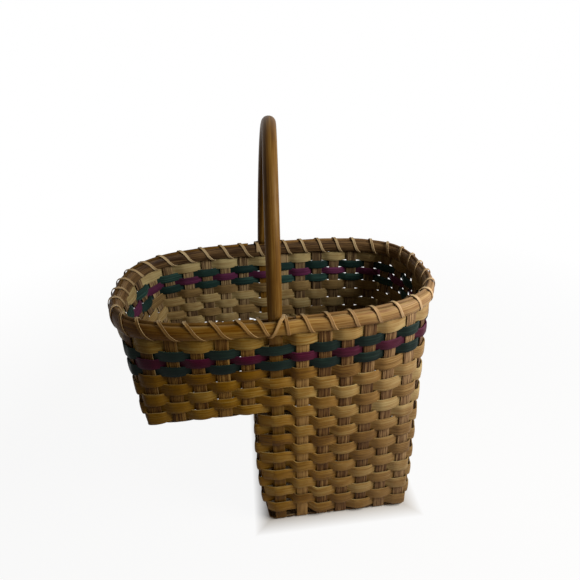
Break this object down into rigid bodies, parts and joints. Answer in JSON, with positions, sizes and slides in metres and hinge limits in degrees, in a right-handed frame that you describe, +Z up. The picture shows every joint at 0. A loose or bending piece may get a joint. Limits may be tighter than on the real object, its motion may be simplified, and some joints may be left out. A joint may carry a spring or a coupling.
{
  "type": "stair basket",
  "caption": "Two-level woven reed basket with a stepped base that sits on a staircase, a lashed half-round rim and a fixed hoop handle.",
  "frame": {"origin": "centre of the bounding box in plan, at the underside of the deep base", "axes": "+Z up, +X along the basket towards its deep end, +Y across it; the hoop handle spans along Y"},
  "size_m": [0.432, 0.2678, 0.5505],
  "materials": {
    "stake_reed": "brown stained flat reed, split face, lengthwise grain",
    "natural_reed": "honey stained flat reed, split face, lengthwise grain",
    "green_reed": "flat reed dyed dark green",
    "purple_reed": "flat reed dyed dark purple",
    "rim_wood": "half-round reed, stained and smooth",
    "filler_reed": "thin round reed, matte",
    "lashing_reed": "pale flat oval reed, smooth",
    "handle_wood": "steam-bent hardwood rod, sanded and stained"
  },
  "bodies": {
    "root": {"handle": "handle_wood", "rim_outer": "rim_wood", "rim_inner": "rim_wood", "rim_filler_deep_side": "filler_reed", "rim_filler_step_side": "filler_reed", "lashing_deep_side": "lashing_reed", "lashing_step_side": "lashing_reed", "handle_tie_front": "lashing_reed", "handle_tie_back": "lashing_reed", "row_under_rim": "natural_reed", "row_green_lower": "green_reed", "row_purple": "purple_reed", "row_green_upper": "green_reed", "row_natural_01": "natural_reed", "row_natural_02": "natural_reed", "row_natural_03": "natural_reed", "row_natural_04": "natural_reed", "row_natural_05": "natural_reed", "row_natural_06": "natural_reed", "row_natural_07": "natural_reed", "row_natural_08": "natural_reed", "row_natural_09": "natural_reed", "row_natural_10": "natural_reed", "row_natural_11": "natural_reed", "row_natural_12": "natural_reed", "row_natural_13": "natural_reed", "row_natural_14": "natural_reed", "row_natural_15": "natural_reed", "row_natural_16": "natural_reed", "long_stake_1": "stake_reed", "long_stake_2": "stake_reed", "long_stake_3": "stake_reed", "long_stake_4": "stake_reed", "long_stake_5": "stake_reed", "long_stake_6": "stake_reed", "long_stake_7": "stake_reed", "deep_cross_stake_1": "stake_reed", "deep_cross_stake_2": "stake_reed", "deep_cross_stake_3": "stake_reed", "deep_cross_stake_4": "stake_reed", "deep_cross_stake_5": "stake_reed", "deep_cross_stake_6": "stake_reed", "step_cross_stake_1": "stake_reed", "step_cross_stake_2": "stake_reed", "step_cross_stake_3": "stake_reed", "step_cross_stake_4": "stake_reed", "step_cross_stake_5": "stake_reed"}
  },
  "joints": []
}
